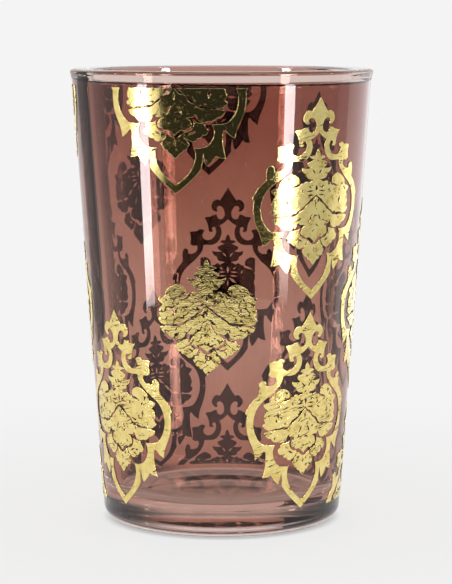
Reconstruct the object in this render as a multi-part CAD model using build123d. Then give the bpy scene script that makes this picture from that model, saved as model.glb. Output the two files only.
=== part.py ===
from build123d import *
from math import cos, radians, sin, sqrt
import os

# Glass tumbler, in millimetres. Z is up, the table is z = 0 and the front of the glass faces -Y.
glass_height = 90.0
foot_diameter = 47.0        # where the straight outer wall would meet the table
mouth_diameter = 59.4       # where the straight outer wall would meet the rim's height
lip_diameter = 59.9         # widest place of the fire-polished lip
wall = 3.7                  # measured level, from the outer wall inwards
lip_swell = 0.4             # the lip is this much thicker than the wall
lip_crown = 0.5             # height of the lip's round above its widest place
lip_blend = 7.0             # radius of the hollow under the lip
floor_thickness = 6.2
floor_corner_radius = 3.0
heel_radius = 3.0
hollow_diameter = 33.0      # shallow hollow in the underside, inside the ring that stands on the table
hollow_depth = 0.9

# Transparent lacquer, sprayed on the outside of the glass.
lacquer_thickness = 0.12
bare_under_lip = 1.85       # uncoated height below the lip's widest place
bare_heel = 0.7             # uncoated height at the heel
edge_bead = 0.1             # extra thickness where the lacquer gathered along its upper edge
edge_bead_height = 0.6

# Gold foil, laid on the lacquer.
foil_thickness = 0.08
foil_top_margin = 0.75      # below the lacquer's upper edge
foil_foot = 4.9             # the foil stops at this height
medallion_height = 38.6
medallion_width = 26.6
row_pitch = 41.2            # from one medallion to the next above it
lower_row = 5.3             # height of the lower medallions' points
leaf_gap_width = 0.62       # wide slits between the bouquet's leaves
leaf_vein_width = 0.38      # narrow slits in the leaves
torn_width = 12.8           # what is left of the torn bouquet

# Rows between the straight ones hang half a pitch lower.
upper_row = lower_row + row_pitch
middle_row = lower_row + row_pitch / 2
top_row = middle_row + row_pitch
bottom_row = middle_row - row_pitch

# Each place: name, angle from the front in degrees to the right, height of the medallion's point, which foils it has.
frame_and_bouquet = ("frame", "bouquet")
bouquet_alone = ("bouquet",)
frame_and_torn_bouquet = ("frame", "torn_bouquet")
places = (
    ("front_right_upper", 39.6, upper_row, frame_and_bouquet),
    ("front_right_lower", 39.6, lower_row, frame_and_bouquet),
    ("front_left_lower", -51.2, lower_row, frame_and_bouquet),
    ("back_right_upper", 129.0, upper_row, frame_and_bouquet),
    ("back_right_lower", 129.0, lower_row, frame_and_bouquet),
    ("back_left_upper", 224.0, upper_row, bouquet_alone),
    ("back_left_lower", 217.5, lower_row, frame_and_bouquet),
    ("front_top", -17.5, top_row, frame_and_bouquet),
    ("front_middle", -5.9, middle_row, bouquet_alone),
    ("right_middle", 89.0, middle_row, frame_and_bouquet),
    ("right_bottom", 89.0, bottom_row, frame_and_bouquet),
    ("back_top", 186.0, top_row, frame_and_bouquet),
    ("back_middle", 177.0, middle_row, frame_and_torn_bouquet),
    ("back_bottom", 177.0, bottom_row, frame_and_bouquet),
    ("left_top", 258.5, top_row, frame_and_bouquet),
    ("left_middle", 258.5, middle_row, frame_and_bouquet),
    ("left_bottom", 258.5, bottom_row, frame_and_bouquet),
)

# Right half of the medallion as drawn: sideways from its axis, up from its point. A list is one stretch between two
# corners of the outline: two points are a straight line, three an arc and more a smooth curve.
frame_outside = (
    [(0, 38.6), (0.85, 37.3), (1.95, 35.85)],
    [(1.95, 35.85), (2.75, 36.05), (3.55, 35.5), (3.85, 34.65), (3.4, 33.75), (2.75, 33.5), (2.35, 33.75)],
    [(2.35, 33.75), (2.65, 34.25), (2.15, 34.7), (1.4, 34.5), (0.85, 33.6), (0.8, 32.8), (1.15, 32.15),
     (1.8, 31.9), (2.4, 32.2), (2.6, 32.9)],
    [(2.6, 32.9), (3.3, 32.85), (4.1, 32.45)],
    [(4.1, 32.45), (4.8, 32.45), (5.5, 32.25)],
    [(5.5, 32.25), (4.85, 31.2), (4.5, 29.55)],
    [(4.5, 29.55), (3.95, 29.25), (3.4, 29.55)],
    [(3.4, 29.55), (3.7, 30.05), (3.25, 30.3), (2.8, 29.55), (3.0, 28.6), (3.7, 27.85), (4.55, 27.55),
     (5.5, 27.75), (6.0, 28.35), (5.9, 28.95), (5.5, 29.45)],
    [(5.5, 29.45), (6.15, 29.85), (7.3, 29.4)],
    [(7.3, 29.4), (8.2, 29.45), (9.05, 29.25)],
    [(9.05, 29.25), (8.75, 28.1), (8.9, 26.85)],
    [(8.9, 26.85), (8.2, 26.45), (7.4, 26.5)],
    [(7.4, 26.5), (7.2, 25.75), (7.75, 25.0), (8.6, 24.75), (9.45, 24.85)],
    [(9.45, 24.85), (9.6, 25.65), (10.1, 25.9), (10.65, 25.5), (10.85, 24.3), (10.85, 23.0)],
    [(10.85, 23.0), (12.3, 21.6), (13.3, 19.65)],
    [(13.3, 19.65), (12.95, 19.2)],
    [(12.95, 19.2), (13.0, 17.6), (12.75, 15.8), (12.2, 14.2), (11.5, 12.7), (10.95, 10.5)],
    [(10.95, 10.5), (9.95, 11.1), (9.25, 11.95)],
    [(9.25, 11.95), (8.8, 11.85)],
    [(8.8, 11.85), (8.7, 9.6), (9.15, 6.75)],
    [(9.15, 6.75), (8.3, 6.8), (7.4, 7.2)],
    [(7.4, 7.2), (6.6, 6.05), (5.75, 5.25)],
    [(5.75, 5.25), (5.35, 6.3), (5.2, 7.6)],
    [(5.2, 7.6), (4.9, 6.2), (4.9, 4.9)],
    [(4.9, 4.9), (3.6, 3.3), (1.6, 1.35), (0, 0)],
)
frame_window = (
    [(0, 1.65), (1.55, 2.85), (2.75, 4.2), (3.5, 5.7), (3.8, 7.1), (3.5, 8.65)],
    [(3.5, 8.65), (4.5, 8.65), (5.6, 8.9), (6.6, 9.8), (7.15, 11.1), (7.15, 12.3), (6.85, 13.1)],
    [(6.85, 13.1), (8.1, 13.15), (9.4, 13.35)],
    [(9.4, 13.35), (10.4, 14.2), (11.15, 15.5), (11.6, 17.1), (11.6, 18.5), (11.2, 20.0), (10.5, 21.2),
     (9.4, 22.2), (8.2, 23.05), (7.0, 24.15), (6.1, 25.25), (5.8, 26.5)],
    [(5.8, 26.5), (4.6, 26.55), (3.45, 26.6), (2.5, 27.05), (1.8, 27.95), (1.5, 29.0), (1.6, 29.9), (2.0, 30.6)],
    [(2.0, 30.6), (1.0, 31.1), (0, 31.95)],
)
bouquet_body = (
    [(0, 28.8), (0.45, 28.15), (0.6, 27.5)],
    [(0.6, 27.5), (1.25, 27.5), (1.9, 27.2)],
    [(1.9, 27.2), (1.35, 26.93), (0.75, 26.75)],
    [(0.75, 26.75), (1.6, 26.48), (2.45, 26.1)],
    [(2.45, 26.1), (2.1, 25.5), (1.4, 25.25)],
    [(1.4, 25.25), (2.5, 25.05), (3.65, 25.3)],
    [(3.65, 25.3), (3.25, 24.4), (2.55, 24.05)],
    [(2.55, 24.05), (2.35, 23.4), (1.75, 23.1)],
    [(1.75, 23.1), (1.25, 23.03), (0.75, 22.9)],
    [(0.75, 22.9), (1.35, 22.63), (1.85, 22.35)],
    [(1.85, 22.35), (2.5, 22.65), (3.05, 22.25)],
    [(3.05, 22.25), (3.55, 22.25), (3.9, 21.8)],
    [(3.9, 21.8), (4.9, 21.55), (5.85, 21.45)],
    [(5.85, 21.45), (5.0, 21.95), (4.1, 22.15)],
    [(4.1, 22.15), (4.05, 23.0), (4.7, 23.7)],
    [(4.7, 23.7), (5.6, 24.0), (6.5, 23.7)],
    [(6.5, 23.7), (7.5, 23.15), (8.2, 22.3)],
    [(8.2, 22.3), (8.2, 21.85), (8.5, 21.5)],
    [(8.5, 21.5), (9.15, 21.4), (9.75, 21.05)],
    [(9.75, 21.05), (9.35, 20.5), (8.8, 20.05)],
    [(8.8, 20.05), (9.2, 19.65), (9.35, 19.2)],
    [(9.35, 19.2), (9.5, 18.3), (9.1, 17.6)],
    [(9.1, 17.6), (9.45, 17.4), (9.7, 17.0)],
    [(9.7, 17.0), (8.6, 16.15), (7.3, 16.3)],
    [(7.3, 16.3), (7.0, 16.2), (6.75, 15.95)],
    [(6.75, 15.95), (8.0, 15.9), (9.3, 15.65)],
    [(9.3, 15.65), (8.75, 14.75), (7.75, 14.4)],
    [(7.75, 14.4), (7.1, 13.75), (6.2, 13.7)],
    [(6.2, 13.7), (5.2, 13.5), (4.35, 14.0)],
    [(4.35, 14.0), (4.15, 14.55), (3.75, 15.0)],
    [(3.75, 15.0), (3.65, 14.6), (3.3, 14.4)],
    [(3.3, 14.4), (2.7, 14.4), (2.1, 14.2)],
    [(2.1, 14.2), (2.8, 13.95), (3.1, 13.3)],
    [(3.1, 13.3), (3.1, 12.65), (2.45, 12.4)],
    [(2.45, 12.4), (1.95, 11.95), (1.35, 12.05)],
    [(1.35, 12.05), (0.75, 11.7), (0, 10.95)],
)
lower_leaf = (
    [(3.45, 13.65), (4.2, 13.42), (4.95, 13.3)],
    [(4.95, 13.3), (5.5, 13.1), (5.6, 12.5)],
    [(5.6, 12.5), (6.05, 12.25), (6.1, 11.7)],
    [(6.1, 11.7), (5.7, 11.15), (5.05, 11.1)],
    [(5.05, 11.1), (4.7, 10.5), (4.1, 10.5)],
    [(4.1, 10.5), (3.65, 9.9), (2.95, 9.95)],
    [(2.95, 9.95), (2.3, 10.35), (1.9, 11.0)],
    [(1.9, 11.0), (1.75, 11.4), (2.0, 11.7)],
    [(2.0, 11.7), (2.95, 11.95), (3.45, 12.75)],
    [(3.45, 12.75), (3.6, 13.2), (3.45, 13.65)],
)
hanging_leaf = (
    [(0, 10.5), (0.75, 10.8), (1.3, 11.35)],
    [(1.3, 11.35), (1.7, 10.9), (1.75, 10.4)],
    [(1.75, 10.4), (2.2, 10.2), (2.3, 9.75)],
    [(2.3, 9.75), (2.6, 9.3), (2.25, 8.85)],
    [(2.25, 8.85), (2.05, 8.35), (1.5, 8.3)],
    [(1.5, 8.3), (1.35, 7.75), (0.85, 7.6)],
    [(0.85, 7.6), (0.5, 7.05), (0, 6.6)],
)
# Gaps and veins of the bouquet: the two ends of each pointed slit in the right half.
leaf_gaps = (
    ((0, 20.5), (0, 22.1)),
    ((0.25, 19.65), (2.05, 18.45)),
    ((2.15, 18.2), (3.8, 16.85)),
    ((3.95, 16.4), (6.15, 16.2)),
    ((6.35, 18.1), (6.6, 19.6)),
)
leaf_veins = (
    ((0, 17.7), (0, 19.2)),
    ((0, 9.0), (0, 10.1)),
    ((0.35, 24.0), (1.25, 24.95)),
    ((0.4, 20.05), (2.3, 19.95)),
    ((0.5, 20.85), (2.4, 20.75)),
    ((1.15, 21.3), (1.95, 21.9)),
    ((3.05, 20.45), (3.5, 21.25)),
    ((6.15, 20.45), (6.75, 21.1)),
    ((7.0, 21.3), (7.5, 22.4)),
    ((1.45, 14.85), (0.7, 16.55)),
    ((2.55, 11.1), (3.9, 11.75)),
)

# What the sizes above come to.
wall_slope = (mouth_diameter - foot_diameter) / 2 / glass_height
lip_radius = (wall + lip_swell) / 2
lip_centre = (lip_diameter / 2 - lip_radius, glass_height - lip_crown)
lacquer_top = lip_centre[1] - bare_under_lip
foil_top = lacquer_top - foil_top_margin
drawn_height = frame_outside[0][0][1]
drawn_width = 2 * max(x for stretch in frame_outside for x, y in stretch)


def outer_radius(height):
    """Radius of the straight outer glass wall at a height."""
    return foot_diameter / 2 + wall_slope * height


def outer_line(offset):
    """The glass's outer line from the heel to the lip's widest place, moved outwards by an offset."""
    heel_top = Vector(outer_radius(heel_radius), heel_radius)
    heel = TangentArc((heel_top.X - heel_radius, 0), heel_top, tangent=(1, 0))

    # The hollow under the lip is an arc that touches the straight wall and the round of the lip.
    along = Vector(wall_slope, 1).normalized()
    outward = Vector(along.Y, -along.X)
    centre = Vector(*lip_centre)
    depth = (heel_top - centre).dot(outward)
    reach = sqrt((lip_blend + lip_radius) ** 2 - (lip_blend + depth) ** 2)
    hollow_centre = centre - along * reach + outward * (lip_blend + depth)
    hollow_start = hollow_centre - outward * lip_blend
    to_lip = (centre - hollow_centre).normalized()
    hollow_end = hollow_centre + to_lip * lip_blend
    hollow_middle = hollow_centre + (to_lip - outward).normalized() * lip_blend

    straight = Line(heel_top, hollow_start)
    hollow = ThreePointArc(hollow_start, hollow_middle, hollow_end)
    widest = centre + Vector(lip_radius, 0)
    lip_middle = centre + (Vector(1, 0) - to_lip).normalized() * lip_radius
    lip_side = ThreePointArc(hollow_end, lip_middle, widest)
    return [edge.translate((offset, 0, 0)) for edge in (heel, straight, hollow, lip_side)]


def layer_outline(inner_offset, outer_offset):
    """Cross-section of a layer on the outside of the glass, between two offsets from it."""
    inner = outer_line(inner_offset)
    outer = outer_line(outer_offset)
    return make_face([*inner, Line(inner[-1] @ 1, outer[-1] @ 1), *outer, Line(outer[0] @ 0, inner[0] @ 0)])


def turned(outline):
    """Solid of revolution of a face drawn as radius and height."""
    return revolve(Plane.XZ * outline, axis=Axis.Z)


def glass_body():
    """Clear tumbler: tapered wall, thick floor, hollowed underside and rounded lip."""
    outside = outer_line(0)
    ring = outside[0] @ 0
    lip = EllipticalCenterArc(lip_centre, lip_radius, lip_crown, arc_size=180)
    lip_inside = (lip_centre[0] - lip_radius, lip_centre[1])
    floor_edge = (outer_radius(floor_thickness) - wall, floor_thickness)
    inside = Line(lip_inside, floor_edge)
    floor = Line(floor_edge, (0, floor_thickness))
    axis = Line((0, floor_thickness), (0, hollow_depth))
    dome = TangentArc((0, hollow_depth), (hollow_diameter / 2, 0), tangent=(1, 0))
    foot = Line((hollow_diameter / 2, 0), ring)
    body = turned(make_face([foot, *outside, lip, inside, floor, axis, dome]))
    floor_rim = body.edges().filter_by(GeomType.CIRCLE).filter_by_position(Axis.Z, floor_thickness, floor_thickness)
    return fillet(floor_rim, floor_corner_radius)


def tint_lacquer():
    """Thin lacquer skin on the outside of the glass, with a thicker bead along its upper edge."""
    span = lip_diameter
    coated = Pos(span / 2, (lacquer_top + bare_heel) / 2) * Rectangle(span, lacquer_top - bare_heel)
    edge = Pos(span / 2, lacquer_top - edge_bead_height / 2) * Rectangle(span, edge_bead_height)
    skin = layer_outline(0, lacquer_thickness) & coated
    bead = layer_outline(lacquer_thickness, lacquer_thickness + edge_bead) & edge
    return turned(skin + bead)


def foil_skin():
    """Layer round the whole glass that the foil patches are cut from."""
    return turned(layer_outline(lacquer_thickness, lacquer_thickness + foil_thickness))


def stretch_edge(points):
    """One stretch of an outline: a line, an arc or a smooth curve."""
    if len(points) == 2:
        return Line(*points)
    if len(points) == 3:
        return ThreePointArc(*points)
    return Spline(*points)


def mirrored(outline):
    """The stretches on the left of the axis, in the order that carries the outline on."""
    return [[(-x, y) for x, y in reversed(stretch)] for stretch in reversed(outline)]


def slit_outline(lower, upper, width):
    """Pointed slit between two ends."""
    run = Vector(*upper) - Vector(*lower)
    aside = Vector(-run.Y, run.X).normalized() * width / 2
    middle = (Vector(*lower) + Vector(*upper)) * 0.5
    corners = [Vector(*lower), middle + aside, Vector(*upper), middle - aside]
    points = [(corner.X, corner.Y) for corner in corners]
    return [[a, b] for a, b in zip(points, points[1:] + points[:1])]


def foil_outlines(kind):
    """Closed outlines of one kind of foil patch and the outlines of the openings in it, as drawn."""
    if kind == "frame":
        return [[*frame_outside, *mirrored(frame_outside)]], [[*frame_window, *mirrored(frame_window)]]
    patches = [[*half, *mirrored(half)] for half in (bouquet_body, hanging_leaf)]
    patches += [list(lower_leaf), mirrored(lower_leaf)]
    slits = [(*ends, leaf_gap_width) for ends in leaf_gaps] + [(*ends, leaf_vein_width) for ends in leaf_veins]
    openings = [slit_outline(*slit) for slit in slits]
    openings += [mirrored(opening) for slit, opening in zip(slits, openings) if slit[0][0] > 0]
    return patches, openings


def foil_patch(kind, angle, point_height, skin):
    """Foil patch of one kind, cut from the skin where the drawing is carried straight on to the glass."""
    radius = outer_radius(point_height + medallion_height / 2)
    middle_radius = outer_radius(glass_height / 2)
    wider = medallion_width / drawn_width * sqrt(radius / middle_radius)
    taller = medallion_height / drawn_height

    def face(outline):
        laid = [[(radius * sin(x * wider / radius), y * taller) for x, y in stretch] for stretch in outline]
        return make_face([stretch_edge(stretch) for stretch in laid])

    patches, openings = foil_outlines(kind)
    sketch = Sketch() + [face(outline) for outline in patches]
    sketch -= [face(outline) for outline in openings]
    foil_height = foil_top - foil_foot
    kept_width = torn_width if kind == "torn_bouquet" else lip_diameter
    sketch &= Pos(0, foil_foot + foil_height / 2 - point_height) * Rectangle(kept_width, foil_height)
    turn = radians(angle)
    plane = Plane((0, 0, point_height), x_dir=(cos(turn), sin(turn), 0), z_dir=(sin(turn), -cos(turn), 0))
    islands = [extrude(plane * island, amount=lip_diameter) & skin for island in sketch.faces()]
    return Compound([solid for island in islands for solid in island.solids()])


os.makedirs("parts", exist_ok=True)
export_step(glass_body(), "parts/glass_body.step")
export_step(tint_lacquer(), "parts/tint_lacquer.step")
layer = foil_skin()
for place, angle, point_height, kinds in places:
    for kind in kinds:
        export_step(foil_patch(kind, angle, point_height, layer), f"parts/gold_{kind}_{place}.step")
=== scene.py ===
"""Moroccan tea glass: clear pressed glass, plum lacquer and crackled gold foil, shown in a plain white studio."""
import math

import bmesh
import bpy
from bpy.props import FloatProperty, FloatVectorProperty, IntProperty, PointerProperty
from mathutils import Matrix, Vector


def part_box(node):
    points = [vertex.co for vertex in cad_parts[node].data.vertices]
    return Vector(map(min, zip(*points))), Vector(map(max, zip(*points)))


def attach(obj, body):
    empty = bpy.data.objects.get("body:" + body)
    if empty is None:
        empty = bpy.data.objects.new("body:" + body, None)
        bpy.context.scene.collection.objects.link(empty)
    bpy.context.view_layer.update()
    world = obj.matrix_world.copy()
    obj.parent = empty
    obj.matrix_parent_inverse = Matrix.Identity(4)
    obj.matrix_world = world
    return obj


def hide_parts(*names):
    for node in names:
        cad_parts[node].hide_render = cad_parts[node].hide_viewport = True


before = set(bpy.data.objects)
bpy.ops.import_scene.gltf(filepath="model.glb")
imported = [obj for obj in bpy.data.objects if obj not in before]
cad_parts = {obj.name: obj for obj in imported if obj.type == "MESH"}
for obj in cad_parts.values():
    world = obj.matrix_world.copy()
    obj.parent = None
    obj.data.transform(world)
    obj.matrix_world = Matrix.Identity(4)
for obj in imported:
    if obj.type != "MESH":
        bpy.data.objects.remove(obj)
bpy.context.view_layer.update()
FOIL_NODES = sorted(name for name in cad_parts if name.startswith("gold_"))

bl_info = {
    "name": "Moroccan Tea Glass",
    "version": (1, 0, 0),
    "blender": (4, 5, 0),
    "location": "View3D > Sidebar > Tea Glass",
    "description": "Finishes the tea glass's body, lacquer and gold foil and sets up its studio",
    "category": "Object",
}

MM = 0.001
# Middling radius of the outer wall in millimetres, at which angles round the glass are laid out flat.
WALL_RADIUS = 26.6

# The seam between a bouquet's upper and lower leaves, in millimetres above the bouquet's lowest point: the height
# of its steep and its level stretch on the axis, how fast each falls sideways, and how far sideways the seam goes.
SEAM_STEEP, STEEP_FALL = 20.5, 0.789
SEAM_LEVEL, LEVEL_FALL = 17.4, 0.09
SEAM_REACH = 7.2

# For each row of bouquets, how crinkled the foil is and its marks, named as the inputs of the foil's node group.
# Point is the height of the bouquet's lowest point in millimetres, below the table where the foot cuts it off.
MARK_NAMES = ("Curls", "Curl width", "Scratches", "Scratch width", "Veins", "Seam", "Point")
BOUQUET_ROWS = {
    "top": (0.17, (0.34, 0.014, 0.28, 0.015, 0.44, 0.18, 67.1)),
    "upper": (0.25, (0.36, 0.014, 0.28, 0.015, 0.38, 0.18, 46.5)),
    "middle": (0.24, (0.40, 0.018, 0.25, 0.015, 0.56, 0.22, 25.9)),
    "lower": (0.32, (0.34, 0.020, 0.50, 0.012, 0.40, 0.16, 5.3)),
    "bottom": (0.32, (0.34, 0.020, 0.50, 0.012, 0.40, 0.16, -15.3)),
}
BORDER_CRINKLE = 0.28
BORDER_MARKS = {"Curls": 0.28, "Scratches": 0.47, "Scratch width": 0.011}


def length(name, description, millimetres):
    """Property for a length, given in millimetres and kept in metres."""
    return FloatProperty(
        name=name, description=description, default=millimetres * MM, min=0.0, unit="LENGTH", precision=5
    )


def share(name, description, value):
    """Property for a plain number that is not negative."""
    return FloatProperty(name=name, description=description, default=value, min=0.0, precision=3)


def colour(name, description, value):
    """Property for a linear colour."""
    return FloatVectorProperty(name=name, description=description, default=value, subtype="COLOR", min=0.0, max=1.0)


def turn(name, description, degrees):
    """Property for an angle, given in degrees."""
    return FloatProperty(
        name=name, description=description, default=math.radians(degrees), subtype="ANGLE", unit="ROTATION"
    )


class TeaGlassBody(bpy.types.PropertyGroup):
    """Sizes of the pressed glass."""

    height: FloatProperty(name="Height", description="Height of the glass", unit="LENGTH", precision=5,
                          default=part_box("glass_body")[1].z)
    foot_diameter: length("Foot", "Where the straight outer wall would meet the table", 47.0)
    mouth_diameter: length("Mouth", "Where the straight outer wall would meet the rim's height", 59.4)
    lip_diameter: length("Lip", "Widest place of the fire-polished lip", 59.9)
    wall: length("Wall", "Wall thickness, measured level", 3.7)
    lip_swell: length("Lip swell", "How much thicker the lip is than the wall", 0.4)
    lip_crown: length("Lip crown", "Height of the lip's round above its widest place", 0.5)
    lip_blend: length("Lip blend", "Radius of the hollow under the lip", 7.0)
    floor_thickness: length("Floor", "Thickness of the glass floor", 6.2)
    floor_corner: length("Floor corner", "Radius between the floor and the inner wall", 3.0)
    heel: length("Heel", "Radius of the outer bottom edge", 3.0)
    hollow_diameter: length("Hollow", "Diameter of the hollow in the underside", 33.0)
    hollow_depth: length("Hollow depth", "Depth of the hollow in the underside", 0.9)
    segments: IntProperty(name="Segments", description="Facets round the glass", default=320, min=32, max=720)


class TeaGlassLacquer(bpy.types.PropertyGroup):
    """Sizes and colours of the lacquer on the outside."""

    offset: length("Offset", "Distance of the film from the glass", 0.06)
    bare_under_lip: length("Bare lip", "Uncoated height below the lip's widest place, at the front", 1.85)
    edge_line: length("Edge line", "Width of the dark line of lacquer that gathered along the upper edge", 0.30)
    edge_rise: length("Edge rise", "How much higher the uneven upper edge lies at the back", 2.6)
    bare_heel: length("Bare heel", "Uncoated height at the heel", 0.7)
    lip_tint: colour("Lip tint", "Light that passes the film near the lip", (0.485, 0.255, 0.205))
    middle_tint: colour("Middle tint", "Light that passes the film at middle height", (0.675, 0.452, 0.385))
    foot_tint: colour("Foot tint", "Light that passes the film near the foot", (0.60, 0.365, 0.30))
    edge_tint: colour("Edge tint", "Light that passes the gathered lacquer along the upper edge",
                      (0.012, 0.005, 0.004))
    mist_tint: colour("Mist tint", "Light that passes the thin spray above the upper edge", (0.76, 0.60, 0.545))
    heel_tint: colour("Heel tint", "Light that passes the thin spray at the heel", (0.90, 0.86, 0.85))
    # Painted shade: the near-black tint laid in the film low on the foot's two sides.
    painted_foot_shade_tint: colour("Shade tint", "Light that passes the lacquer that ran down to the foot's sides",
                       (0.03, 0.027, 0.03))


class TeaGlassFoil(bpy.types.PropertyGroup):
    """Colours and finish of the gold foil."""

    gold: colour("Gold", "Colour of the bright foil", (0.95, 0.77, 0.31))
    deep_gold: colour("Deep gold", "Colour in the foil's dull patches", (0.76, 0.56, 0.17))
    crack: colour("Cracks", "Colour in the cracks of the foil", (0.030, 0.013, 0.006))
    back: colour("Back", "Colour of the foil's glued back, seen through the glass", (0.030, 0.011, 0.008))
    polish: share("Roughness", "Roughness of the foil", 0.07)
    edge_round: length("Edge round", "Radius of the foil's burnished edges", 0.07)


class TeaGlassStudio(bpy.types.PropertyGroup):
    """Camera and light."""

    camera_distance: length("Camera distance", "From the glass's axis to the camera, level", 460.2)
    camera_height: length("Camera height", "Above the table", 100.2)
    camera_aside: length("Camera aside", "To the right of the glass's axis", 0.88)
    camera_pitch: turn("Camera pitch", "How far the camera looks down", 6.80)
    lens: FloatProperty(name="Lens", description="Focal length for a 36 mm sensor", default=142.5, min=1.0,
                        unit="CAMERA")
    white: share("Background", "Brightness of the white surroundings", 0.905)
    table_radius: length("Table", "Radius of the white table top", 208.0)
    left_strip_angle: turn("Left strip light", "Angle of the left strip light from the camera's axis", 62.3)
    right_strip_angle: turn("Right strip light", "Angle of the right strip light from the camera's axis", 53.1)
    strip_width: turn("Strip width", "How wide a strip light looks from the glass", 8.5)
    strip_strength: share("Strip strength", "Brightness of the strip lights", 23.0)
    side_strength: share("Side strength", "Brightness of the pale wall behind on the right", 1.65)


def settings():
    """The scene's tea glass settings."""
    return bpy.context.scene.tea_glass


def arc(centre, radius, start, end, steps):
    """Points of an arc between two angles in degrees."""
    points = []
    for step in range(steps + 1):
        angle = math.radians(start + (end - start) * step / steps)
        points.append(Vector((centre[0] + radius * math.cos(angle), centre[1] + radius * math.sin(angle))))
    return points


def run(start, end, steps):
    """Points of a straight run."""
    return [start.lerp(end, step / steps) for step in range(steps + 1)]


def joined(*stretches):
    """One list of points from stretches that share their ends."""
    points = list(stretches[0])
    for stretch in stretches[1:]:
        points += stretch[1:]
    return points


def lip_round(body):
    """Centre and radius of the lip's round."""
    radius = (body.wall + body.lip_swell) / 2
    return Vector((body.lip_diameter / 2 - radius, body.height - body.lip_crown)), radius


def lip_crown(body, end, steps):
    """Points over the lip's elliptical crown from its widest place to an angle in degrees."""
    centre, radius = lip_round(body)
    round_lip = arc((0, 0), 1, 0, end, steps)
    return [centre + Vector((point.x * radius, point.y * body.lip_crown)) for point in round_lip]


def outer_radius(body, height):
    """Radius of the straight outer wall at a height."""
    return body.foot_diameter / 2 + (body.mouth_diameter - body.foot_diameter) / 2 * height / body.height


def outer_line(body):
    """The outer line as radius and height, from the foot ring up to the lip's widest place."""
    ring = outer_radius(body, body.heel) - body.heel
    heel = arc((ring, body.heel), body.heel, -90, 0, 20)
    slope = (body.mouth_diameter - body.foot_diameter) / 2 / body.height
    along = Vector((slope, 1)).normalized()
    outward = Vector((along.y, -along.x))
    centre, radius = lip_round(body)
    depth = (heel[-1] - centre).dot(outward)
    reach = math.sqrt((body.lip_blend + radius) ** 2 - (body.lip_blend + depth) ** 2)
    hollow_centre = centre - along * reach + outward * (body.lip_blend + depth)
    hollow_start = hollow_centre - outward * body.lip_blend
    to_lip = (centre - hollow_centre).normalized()
    first = math.degrees(math.atan2(-outward.y, -outward.x)) % 360
    last = math.degrees(math.atan2(to_lip.y, to_lip.x)) % 360
    hollow = arc(hollow_centre, body.lip_blend, first, last, 8)
    side = arc(centre, radius, last - 180, 0, 6)
    return joined(heel, run(heel[-1], hollow_start, 60), hollow, side)


def body_outline(body):
    """The whole cross-section of the glass, from the axis underneath round to the axis on the floor."""
    hollow = []
    for step in range(25):
        out = step / 24
        hollow.append(Vector((out * body.hollow_diameter / 2, body.hollow_depth * (1 - out * out))))
    outside = outer_line(body)
    foot = run(hollow[-1], outside[0], 6)
    lip = lip_crown(body, 180, 60)
    corner = Vector((outer_radius(body, body.floor_thickness) - body.wall, body.floor_thickness))
    slope = (lip[-1].x - corner.x) / (lip[-1].y - corner.y)
    round_height = corner.y + body.floor_corner
    round_radius = corner.x + slope * body.floor_corner - body.floor_corner * math.hypot(1, slope)
    fillet = arc((round_radius, round_height), body.floor_corner, -math.degrees(math.atan(slope)), -90, 16)
    inside = run(lip[-1], fillet[0], 60)
    floor = run(fillet[-1], Vector((0, body.floor_thickness)), 20)
    return joined(hollow, foot, outside, lip, inside, fillet, floor)


def turned_piece(name, outline, segments):
    """Smooth mesh object that an outline of radius and height sweeps round the axis."""
    mesh = bmesh.new()
    rings = []
    for point in outline:
        if point.x < 1e-7:
            rings.append([mesh.verts.new((0, 0, point.y))] * segments)
            continue
        angles = [2 * math.pi * step / segments for step in range(segments)]
        rings.append([mesh.verts.new((point.x * math.cos(a), point.x * math.sin(a), point.y)) for a in angles])
    for lower, upper in zip(rings, rings[1:]):
        for here in range(segments):
            there = (here + 1) % segments
            corners = (lower[here], lower[there], upper[there], upper[here])
            mesh.faces.new(dict.fromkeys(corners)).smooth = True
    data = bpy.data.meshes.new(name)
    mesh.to_mesh(data)
    mesh.free()
    piece = bpy.data.objects.new(name, data)
    bpy.context.scene.collection.objects.link(piece)
    return piece


def new_material(name):
    """Empty node material with its output node."""
    material = bpy.data.materials.new(name)
    material.use_nodes = True
    tree = material.node_tree
    tree.nodes.clear()
    output = tree.nodes.new("ShaderNodeOutputMaterial")
    return material, tree, output


def add(tree, kind, inputs=None, **options):
    """New node with options set and its inputs linked or given a value."""
    node = tree.nodes.new(kind)
    for key, value in options.items():
        setattr(node, key, value)
    for key, value in (inputs or {}).items():
        socket = node.inputs[key]
        if isinstance(value, bpy.types.NodeSocket):
            tree.links.new(value, socket)
        else:
            socket.default_value = value
    return node


def maths(tree, operation, *values):
    """Output of a Math node."""
    return add(tree, "ShaderNodeMath", dict(enumerate(values)), operation=operation).outputs[0]


def vector_maths(tree, operation, *values):
    """Outputs of a Vector Math node."""
    return add(tree, "ShaderNodeVectorMath", dict(enumerate(values)), operation=operation).outputs


def noise(tree, vector, scale=1.0, detail=1.0, roughness=0.5):
    """Value of a noise at a place."""
    inputs = {"Vector": vector, "Scale": scale, "Detail": detail, "Roughness": roughness}
    return add(tree, "ShaderNodeTexNoise", inputs).outputs["Fac"]


def ramp(tree, value, low, high, start=0.0, end=1.0):
    """A value carried smoothly from one range to another."""
    inputs = {"Value": value, "From Min": low, "From Max": high, "To Min": start, "To Max": end}
    return add(tree, "ShaderNodeMapRange", inputs, interpolation_type="SMOOTHSTEP").outputs["Result"]


def opaque(value):
    """A colour with its alpha, or the socket that gives it."""
    return value if isinstance(value, bpy.types.NodeSocket) else (*value, 1.0)


def blend(tree, factor, first, second):
    """Colour between two colours. A Mix node has its colours on its seventh and eighth inputs and third output."""
    inputs = {0: factor, 6: opaque(first), 7: opaque(second)}
    return add(tree, "ShaderNodeMix", inputs, data_type="RGBA").outputs[2]


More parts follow.
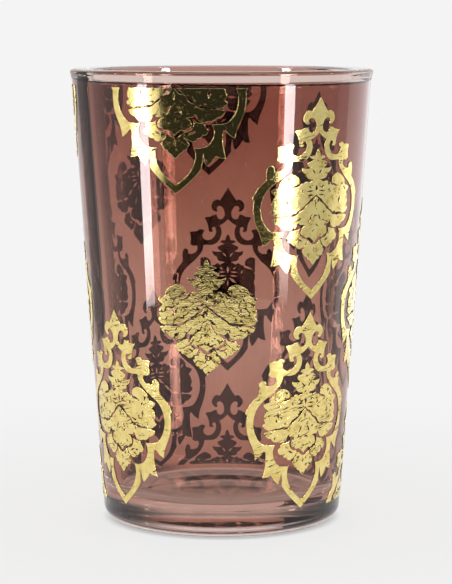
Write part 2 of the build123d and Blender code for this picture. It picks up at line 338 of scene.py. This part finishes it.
def wall_coordinates(tree):
    """Place on the wall in millimetres: round the glass, up the glass."""
    place = add(tree, "ShaderNodeSeparateXYZ", {0: add(tree, "ShaderNodeTexCoord").outputs["Object"]})
    angle = maths(tree, "ARCTAN2", place.outputs["X"], maths(tree, "MULTIPLY", place.outputs["Y"], -1.0))
    round_the_glass = maths(tree, "MULTIPLY", angle, WALL_RADIUS)
    up_the_glass = maths(tree, "MULTIPLY", place.outputs["Z"], 1 / MM)
    return round_the_glass, up_the_glass


def wall_vector(tree, across, up, across_scale=1.0, up_scale=1.0, slant=0.0):
    """Vector for a texture on the wall, stretched and slanted."""
    slanted = maths(tree, "ADD", up, maths(tree, "MULTIPLY", across, slant))
    scaled = maths(tree, "MULTIPLY", across, across_scale), maths(tree, "MULTIPLY", slanted, up_scale)
    return add(tree, "ShaderNodeCombineXYZ", {"X": scaled[0], "Y": scaled[1]}).outputs[0]


def foil_lines(tree, vector, width, amount, patches):
    """Thin broken lines along one level of a noise, kept only in patches."""
    off_level = maths(tree, "ABSOLUTE", maths(tree, "SUBTRACT", noise(tree, vector, detail=2.0), 0.5))
    line = maths(tree, "LESS_THAN", off_level, width)
    return maths(tree, "MULTIPLY", line, ramp(tree, maths(tree, "ADD", patches, amount), 0.98, 1.02))


def foil_crackle_group():
    """Cracks, leaf veins and crinkles of gold foil that has been rubbed on to a wall, as masks."""
    group = bpy.data.node_groups.get("Foil crackle")
    if group:
        return group
    group = bpy.data.node_groups.new("Foil crackle", "ShaderNodeTree")
    socket = group.interface.new_socket
    for name, default in (("Curls", 0.5), ("Curl width", 0.02), ("Scratches", 0.5), ("Scratch width", 0.015),
                          ("Veins", 0.0), ("Seam", 0.0), ("Axis", 0.0), ("Point", 0.0)):
        socket(name=name, in_out="INPUT", socket_type="NodeSocketFloat").default_value = default
    for name in ("Crack", "Dullness", "Crinkle"):
        socket(name=name, in_out="OUTPUT", socket_type="NodeSocketFloat")
    given = group.nodes.new("NodeGroupInput").outputs
    put_out = group.nodes.new("NodeGroupOutput").inputs
    across, up = wall_coordinates(group)
    flat = wall_vector(group, across, up)

    # Short curled cracks, and long fine scratches that climb a little round the glass.
    curled = wall_vector(group, across, up, 0.75, 1.1)
    curls = foil_lines(group, curled, given["Curl width"], given["Curls"], noise(group, flat, 0.45))
    stretched = wall_vector(group, across, up, 0.13, 1.0, -0.22)
    scratches = foil_lines(group, stretched, given["Scratch width"], given["Scratches"], noise(group, flat, 0.3))

    # Leaf veins that slant down and outwards from a bouquet's axis, in broken stretches.
    half_turn = math.pi * WALL_RADIUS
    from_axis = maths(group, "WRAP", maths(group, "SUBTRACT", across, given["Axis"]), half_turn, -half_turn)
    aside = maths(group, "ABSOLUTE", from_axis)
    waver = noise(group, flat, 0.7, 4.0)
    slanted = maths(group, "ADD", up, maths(group, "MULTIPLY", aside, 0.55))
    wavering = maths(group, "ADD", slanted, maths(group, "MULTIPLY", waver, 3.4))
    groove = maths(group, "LESS_THAN", maths(group, "PINGPONG", wavering, 0.75), 0.15)
    broken = ramp(group, maths(group, "ADD", noise(group, flat, 0.85), given["Veins"]), 0.98, 1.02)
    veins = maths(group, "MULTIPLY", groove, broken)

    # The seam between the upper and lower leaves, steep by the axis and nearly level further out.
    from_point = maths(group, "SUBTRACT", up, given["Point"])
    drawn = maths(group, "ADD", from_point, maths(group, "MULTIPLY", waver, 1.3))
    steep = maths(group, "SUBTRACT", SEAM_STEEP, maths(group, "MULTIPLY", aside, STEEP_FALL))
    level = maths(group, "SUBTRACT", SEAM_LEVEL, maths(group, "MULTIPLY", aside, LEVEL_FALL))
    off_seam = maths(group, "ABSOLUTE", maths(group, "SUBTRACT", drawn, maths(group, "MAXIMUM", steep, level)))
    on_leaf = maths(group, "LESS_THAN", aside, SEAM_REACH)
    seam = maths(group, "MULTIPLY", maths(group, "LESS_THAN", off_seam, given["Seam"]), on_leaf)
    cracks = maths(group, "MAXIMUM", curls, scratches)
    marks = maths(group, "MAXIMUM", cracks, maths(group, "MAXIMUM", veins, seam))
    group.links.new(marks, put_out["Crack"])

    dull = noise(group, flat, 0.45, 4.0, 0.65)
    group.links.new(ramp(group, dull, 0.35, 0.75), put_out["Dullness"])
    wrinkles = noise(group, wall_vector(group, across, up, 0.5, 1.5), 1.0, 4.0, 0.6)
    grain = noise(group, flat, 4.0, 2.0)
    relief = maths(group, "ADD", wrinkles, maths(group, "MULTIPLY", grain, 0.6))
    group.links.new(relief, put_out["Crinkle"])
    return group


def foil_material(name, crinkle, marks):
    """Gold foil with its own share of marks and crinkles, burnished edges and a dark glued back."""
    foil = settings().foil
    material, tree, output = new_material(name)
    crackle = add(tree, "ShaderNodeGroup", marks, node_tree=foil_crackle_group()).outputs

    # The glued back is the face that looks towards the glass's axis.
    surface = add(tree, "ShaderNodeNewGeometry").outputs
    from_axis = vector_maths(tree, "MULTIPLY", surface["Position"], (1.0, 1.0, 0.0))["Vector"]
    facing = vector_maths(tree, "DOT_PRODUCT", from_axis, surface["True Normal"])["Value"]
    back = maths(tree, "LESS_THAN", facing, 0.0)

    gold = blend(tree, crackle["Dullness"], foil.gold, foil.deep_gold)
    cracked = blend(tree, crackle["Crack"], gold, foil.crack)
    matt = maths(tree, "MAXIMUM", crackle["Crack"], back)
    dulled = maths(tree, "ADD", maths(tree, "MULTIPLY", crackle["Dullness"], 0.07), foil.polish)
    roughness = maths(tree, "ADD", maths(tree, "MULTIPLY", matt, 0.35), dulled)
    rounded = add(tree, "ShaderNodeBevel", {"Radius": foil.edge_round}, samples=6).outputs[0]
    relief = {"Strength": crinkle, "Distance": 0.1 * MM, "Height": crackle["Crinkle"], "Normal": rounded}
    bump = add(tree, "ShaderNodeBump", relief)
    shader = add(tree, "ShaderNodeBsdfPrincipled", {
        "Base Color": blend(tree, back, cracked, foil.back),
        "Metallic": maths(tree, "SUBTRACT", 1.0, maths(tree, "MULTIPLY", matt, 0.8)),
        "Roughness": roughness,
        "Specular IOR Level": 0.05,
        "Normal": bump.outputs[0],
    })
    tree.links.new(shader.outputs[0], output.inputs["Surface"])
    return material


def glass_material():
    """Clear pressed glass, waved by the mould in its base, which lets the lamps' light through."""
    material, tree, output = new_material("Clear pressed glass")
    across, up = wall_coordinates(tree)
    place = add(tree, "ShaderNodeTexCoord").outputs["Object"]
    stretched = vector_maths(tree, "MULTIPLY", place, (60.0, 60.0, 500.0))["Vector"]
    in_base = ramp(tree, up, 3.0, 9.0, 1.0, 0.0)
    mould = maths(tree, "MULTIPLY", noise(tree, stretched, detail=2.0), in_base)
    on_wall = ramp(tree, up, 78.0, 84.0, 0.25, 0.0)
    waves = maths(tree, "MULTIPLY", noise(tree, wall_vector(tree, across, up, 0.3, 0.04)), on_wall)
    relief = maths(tree, "ADD", mould, waves)
    bump = add(tree, "ShaderNodeBump", {"Strength": 0.15, "Distance": 0.2 * MM, "Height": relief})
    shader = add(tree, "ShaderNodeBsdfPrincipled", {
        "Base Color": (0.985, 0.99, 0.99, 1.0),
        "Roughness": 0.0,
        "IOR": 1.51,
        "Transmission Weight": 1.0,
        "Normal": bump.outputs[0],
    })
    passing = add(tree, "ShaderNodeBsdfTransparent", {"Color": (0.97, 0.97, 0.97, 1.0)})
    shadow = add(tree, "ShaderNodeLightPath").outputs["Is Shadow Ray"]
    mixed = add(tree, "ShaderNodeMixShader", {0: shadow, 1: shader.outputs[0], 2: passing.outputs[0]})
    tree.links.new(mixed.outputs[0], output.inputs["Surface"])
    return material


def lacquer_material(front_edge):
    """See-through plum film, densest near the lip, with a dark ragged line where it gathered at its upper edge."""
    lacquer = settings().lacquer
    material, tree, output = new_material("Plum lacquer")
    across, up = wall_coordinates(tree)
    clouds = noise(tree, wall_vector(tree, across, up, 0.06, 0.10), detail=3.0)
    height = maths(tree, "ADD", up, maths(tree, "MULTIPLY", maths(tree, "SUBTRACT", clouds, 0.5), 14.0))
    lower = blend(tree, ramp(tree, height, 10.0, 30.0), lacquer.foot_tint, lacquer.middle_tint)
    tint = blend(tree, ramp(tree, height, 36.0, 90.0), lower, lacquer.lip_tint)

    # The upper edge is lowest at the front and rises towards the back.
    angle = maths(tree, "DIVIDE", across, WALL_RADIUS)
    away = maths(tree, "SUBTRACT", 1.0, maths(tree, "COSINE", angle))
    rise = maths(tree, "MULTIPLY", maths(tree, "MULTIPLY", away, away), lacquer.edge_rise / MM / 4)
    lean = maths(tree, "MULTIPLY", maths(tree, "SINE", angle), -0.2)
    ragged = noise(tree, wall_vector(tree, across, up, 1.6, 0.0), detail=5.0)
    frayed = maths(tree, "MULTIPLY", maths(tree, "SUBTRACT", ragged, 0.5), 0.45)
    edge = maths(tree, "ADD", front_edge / MM, maths(tree, "ADD", maths(tree, "ADD", rise, lean), frayed))
    below = maths(tree, "SUBTRACT", edge, up)
    coated = ramp(tree, below, -0.03, 0.03)
    edge_runs_and_shade_noise = noise(tree, wall_vector(tree, across, up, 0.7, 0.0), detail=3.0)
    line = maths(tree, "MULTIPLY", edge_runs_and_shade_noise, 2 * lacquer.edge_line / MM)
    gathered = ramp(tree, maths(tree, "SUBTRACT", below, line), -0.06, 0.06, 1.0, 0.0)

    # Painted shade: the film turns near-black low on the foot's two sides, broken up by noise. The film also thins
    # out over the heel.
    sideways = maths(tree, "ABSOLUTE", maths(tree, "SINE", angle))
    low = maths(tree, "MULTIPLY", ramp(tree, up, 1.2, 2.4), ramp(tree, up, 6.4, 4.9, 0.0, 1.0))
    painted_shade_breakup = ramp(tree, edge_runs_and_shade_noise, 0.3, 0.6, 0.88, 0.98)
    # Mask of the painted shade: low on the foot, at its two sides, broken up by the same noise that varies the edge
    # line.
    painted_foot_shade = maths(tree, "MULTIPLY", maths(tree, "MULTIPLY", low, ramp(tree, sideways, 0.25, 0.8)), painted_shade_breakup)
    thinned = blend(tree, ramp(tree, up, 1.2, 3.2), lacquer.heel_tint, tint)
    film = blend(tree, gathered, blend(tree, painted_foot_shade, thinned, lacquer.painted_foot_shade_tint), lacquer.edge_tint)

    # Above the edge there is only a mist of spray, thinnest at the sides.
    at_side = maths(tree, "MULTIPLY", ramp(tree, sideways, 0.7, 0.95), 0.6)
    mist = blend(tree, at_side, lacquer.mist_tint, (1.0, 1.0, 1.0))
    through = blend(tree, coated, mist, film)
    passing = add(tree, "ShaderNodeBsdfTransparent", {"Color": through})

    gloss = add(tree, "ShaderNodeBsdfGlossy", {"Color": (1.0, 1.0, 1.0, 1.0), "Roughness": 0.03})
    mirror = add(tree, "ShaderNodeFresnel", {"IOR": 1.40})
    outside = maths(tree, "SUBTRACT", 1.0, add(tree, "ShaderNodeNewGeometry").outputs["Backfacing"])
    factor = maths(tree, "MULTIPLY", maths(tree, "MULTIPLY", mirror.outputs[0], outside), coated)
    mixed = add(tree, "ShaderNodeMixShader", {0: factor, 1: passing.outputs[0], 2: gloss.outputs[0]})
    tree.links.new(mixed.outputs[0], output.inputs["Surface"])
    return material


class TEAGLASS_OT_glass_body(bpy.types.Operator):
    """Turn the pressed glass body and give it clear glass"""

    bl_idname = "teaglass.glass_body"
    bl_label = "Glass body"

    def execute(self, context):
        body = settings().body
        piece = turned_piece("pressed_glass", body_outline(body), body.segments)
        piece.data.materials.append(glass_material())
        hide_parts("glass_body")
        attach(piece, "root")
        return {"FINISHED"}


class TEAGLASS_OT_lacquer(bpy.types.Operator):
    """Lay the plum lacquer film on the outside of the glass"""

    bl_idname = "teaglass.lacquer"
    bl_label = "Plum lacquer"

    def execute(self, context):
        body, lacquer = settings().body, settings().lacquer
        widest_height = body.height - body.lip_crown
        glass = joined(outer_line(body), lip_crown(body, 60, 20))
        outline = []
        for before, point, after in zip(glass, glass[1:], glass[2:]):
            if point.y < lacquer.bare_heel:
                continue
            along = (after - before).normalized()
            outline.append(point + Vector((along.y, -along.x)) * lacquer.offset)
        piece = turned_piece("lacquer_film", outline, body.segments)
        piece.data.materials.append(lacquer_material(widest_height - lacquer.bare_under_lip))
        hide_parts("tint_lacquer")
        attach(piece, "root")
        return {"FINISHED"}


def foil_axis(node):
    """Angle of a foil patch's axis from the front, halfway between its sides."""
    corners = [node.matrix_world @ vertex.co for vertex in node.data.vertices]
    roughly = math.atan2(sum(corner.x for corner in corners), -sum(corner.y for corner in corners))
    aside = [math.remainder(math.atan2(corner.x, -corner.y) - roughly, math.tau) for corner in corners]
    return roughly + (min(aside) + max(aside)) / 2


class TEAGLASS_OT_gold_foil(bpy.types.Operator):
    """Give each foil medallion and bouquet its crackled gold"""

    bl_idname = "teaglass.gold_foil"
    bl_label = "Gold foil"

    def execute(self, context):
        border = foil_material("Gold border foil", BORDER_CRINKLE, BORDER_MARKS)
        for name in FOIL_NODES:
            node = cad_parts[name]
            material = border
            if not name.startswith("gold_frame"):
                crinkle, amounts = BOUQUET_ROWS[name.split("_")[-1]]
                marks = dict(zip(MARK_NAMES, amounts), Axis=foil_axis(node) * WALL_RADIUS)
                material = foil_material("Foil of " + name, crinkle, marks)
            node.data.materials.clear()
            node.data.materials.append(material)
        return {"FINISHED"}


def stage_plane(name, corners, material):
    """A flat card of the studio that the camera, and light on matt things, do not meet."""
    data = bpy.data.meshes.new(name)
    data.from_pydata(corners, [], [tuple(range(len(corners)))])
    data.materials.append(material)
    card = bpy.data.objects.new(name, data)
    bpy.context.scene.collection.objects.link(card)
    card.visible_camera = False
    card.visible_diffuse = False
    card.visible_shadow = False
    return card


def upright_card(name, degrees, distance, width, low, high, material, reflected=True, seen_through=True):
    """A card that stands round the glass at an angle from the camera's side, facing the glass."""
    angle = math.radians(degrees)
    middle = Vector((math.sin(angle) * distance, -math.cos(angle) * distance, 0))
    aside = Vector((math.cos(angle), math.sin(angle), 0)) * width / 2
    foot, top = Vector((0, 0, low)), Vector((0, 0, high))
    corners = [middle - aside + foot, middle + aside + foot, middle + aside + top, middle - aside + top]
    card = stage_plane(name, corners, material)
    card.visible_glossy = reflected
    card.visible_transmission = seen_through


def glow_material(name, brightness, fade_low=None, fade_high=None, below=0.0):
    """Card that shines, and that may fade downwards between two heights to its brightness below."""
    material, tree, output = new_material(name)
    strength = brightness
    if fade_low is not None:
        place = add(tree, "ShaderNodeSeparateXYZ", {0: add(tree, "ShaderNodeTexCoord").outputs["Object"]})
        strength = ramp(tree, place.outputs["Z"], fade_low, fade_high, below, brightness)
    shine = add(tree, "ShaderNodeEmission", {"Color": (0.93, 0.97, 1.0, 1.0), "Strength": strength})
    tree.links.new(shine.outputs[0], output.inputs["Surface"])
    return material


def table_material(studio):
    """Matt white table top that fades into the white surroundings towards its rim, with a painted shadow under and
    round the glass.
    """
    material, tree, output = new_material("White table")
    place = add(tree, "ShaderNodeTexCoord").outputs["Object"]
    distance = vector_maths(tree, "LENGTH", place)["Value"]
    white = blend(tree, noise(tree, place, 60.0, 3.0), (0.955, 0.955, 0.955), (0.965, 0.965, 0.965))
    matt = add(tree, "ShaderNodeBsdfDiffuse", {"Color": white})
    # Painted shadow: the table's glow is made darker under the glass and a little darker round it, on top of the
    # weak cast shadow in its matt share.
    painted_shadow_under_glass = ramp(tree, distance, 0.0215, 0.0245, 0.58, 1.0)
    painted_shade_near_glass = ramp(tree, distance, 0.015, 0.16, 0.955, 1.0)
    brightness = maths(tree, "MULTIPLY", maths(tree, "MULTIPLY", painted_shadow_under_glass, painted_shade_near_glass), studio.white)
    rim = add(tree, "ShaderNodeEmission", {"Color": (1.0, 1.0, 1.0, 1.0), "Strength": brightness})
    fade = ramp(tree, distance, 0.45 * studio.table_radius, 0.98 * studio.table_radius)
    lit = maths(tree, "ADD", 0.84, maths(tree, "MULTIPLY", fade, 0.16))
    mixed = add(tree, "ShaderNodeMixShader", {0: lit, 1: matt.outputs[0], 2: rim.outputs[0]})
    tree.links.new(mixed.outputs[0], output.inputs["Surface"])
    return material


class TEAGLASS_OT_studio(bpy.types.Operator):
    """Set up the table, the white surroundings, the strip lights and the camera"""

    bl_idname = "teaglass.studio"
    bl_label = "Studio"

    def execute(self, context):
        studio = settings().studio
        scene = context.scene
        scene.view_settings.view_transform = "Standard"

        # On its way down the wall from the lip, light is mirrored many times inside the glass.
        bounces = 24
        scene.cycles.max_bounces = bounces
        scene.cycles.transmission_bounces = bounces
        scene.cycles.glossy_bounces = bounces
        scene.cycles.transparent_max_bounces = bounces

        world = bpy.data.worlds.new("White surroundings")
        scene.world = world
        world.use_nodes = True
        background = world.node_tree.nodes["Background"]
        background.inputs["Color"].default_value = (1.0, 1.0, 1.0, 1.0)
        background.inputs["Strength"].default_value = studio.white

        steps = 96
        rim = [2 * math.pi * step / steps for step in range(steps)]
        corners = [(studio.table_radius * math.cos(a), studio.table_radius * math.sin(a), 0) for a in rim]
        table = stage_plane("table", corners, table_material(studio))
        table.visible_camera = table.visible_diffuse = table.visible_shadow = True

        # Cards round the glass: angles in degrees from the camera's side, distances, widths and heights in metres.
        strip_distance = 0.9
        width = 2 * strip_distance * math.tan(studio.strip_width / 2)
        for side, angle, fade_low, fade_high in (
            ("left", -studio.left_strip_angle, -0.205, -0.125),
            ("right", studio.right_strip_angle, -0.185, -0.11),
        ):
            shine = glow_material("Strip light, " + side, studio.strip_strength, fade_low, fade_high)
            upright_card(side + "_strip_light", math.degrees(angle), strip_distance, width, -0.5, 0.9, shine)
        dark = glow_material("Dark room", 0.026)
        upright_card("dark_room_behind_camera", 0, 1.4, 3.1, -0.6, 0.12, dark, seen_through=False)
        gloom = glow_material("Dark wall", 0.026, -0.22, -0.13, below=studio.white)
        upright_card("dark_wall_left", -147, 1.2, 0.5, -0.6, 1.2, gloom, reflected=False)
        dim = glow_material("Dim wall", 0.46)
        upright_card("dim_wall_left", -135, 1.3, 0.5, -0.6, 1.2, dim, seen_through=False)
        grey = glow_material("Grey wall", 0.62)
        upright_card("grey_wall_right", 82, 1.4, 0.95, -0.6, 0.1, grey, seen_through=False)
        pale = glow_material("Pale wall", studio.side_strength)
        upright_card("pale_wall_right", 140, 1.5, 1.4, -0.6, 1.2, pale, seen_through=False)

        camera = bpy.data.objects.new("camera", bpy.data.cameras.new("camera"))
        camera.data.lens = studio.lens
        camera.data.sensor_width = 36.0
        camera.data.clip_start = 0.01
        camera.location = (studio.camera_aside, -studio.camera_distance, studio.camera_height)
        camera.rotation_euler = (math.pi / 2 - studio.camera_pitch, 0, 0)
        scene.collection.objects.link(camera)
        scene.camera = camera
        return {"FINISHED"}


class TeaGlassSettings(bpy.types.PropertyGroup):
    """All settings of the tea glass."""

    body: PointerProperty(type=TeaGlassBody)
    lacquer: PointerProperty(type=TeaGlassLacquer)
    foil: PointerProperty(type=TeaGlassFoil)
    studio: PointerProperty(type=TeaGlassStudio)


class TEAGLASS_PT_sidebar(bpy.types.Panel):
    """Sizes, colours and steps of the tea glass"""

    bl_label = "Tea Glass"
    bl_idname = "TEAGLASS_PT_sidebar"
    bl_space_type = "VIEW_3D"
    bl_region_type = "UI"
    bl_category = "Tea Glass"

    def draw(self, context):
        everything = context.scene.tea_glass
        for title, group, operator in (
            ("Glass body", everything.body, "teaglass.glass_body"),
            ("Plum lacquer", everything.lacquer, "teaglass.lacquer"),
            ("Gold foil", everything.foil, "teaglass.gold_foil"),
            ("Studio", everything.studio, "teaglass.studio"),
        ):
            box = self.layout.box()
            box.label(text=title)
            for name in group.__annotations__:
                box.prop(group, name)
            box.operator(operator)


CLASSES = (
    TeaGlassBody,
    TeaGlassLacquer,
    TeaGlassFoil,
    TeaGlassStudio,
    TeaGlassSettings,
    TEAGLASS_OT_glass_body,
    TEAGLASS_OT_lacquer,
    TEAGLASS_OT_gold_foil,
    TEAGLASS_OT_studio,
    TEAGLASS_PT_sidebar,
)


def register():
    """Add the settings, the operators and the panel to Blender."""
    for each in CLASSES:
        bpy.utils.register_class(each)
    bpy.types.Scene.tea_glass = PointerProperty(type=TeaGlassSettings)


def unregister():
    """Take the settings, the operators and the panel out of Blender."""
    del bpy.types.Scene.tea_glass
    for each in reversed(CLASSES):
        bpy.utils.unregister_class(each)


def main():
    """Make every piece, then the studio."""
    register()
    bpy.ops.teaglass.studio()
    bpy.ops.teaglass.glass_body()
    bpy.ops.teaglass.lacquer()
    bpy.ops.teaglass.gold_foil()


if __name__ == "__main__":
    main()
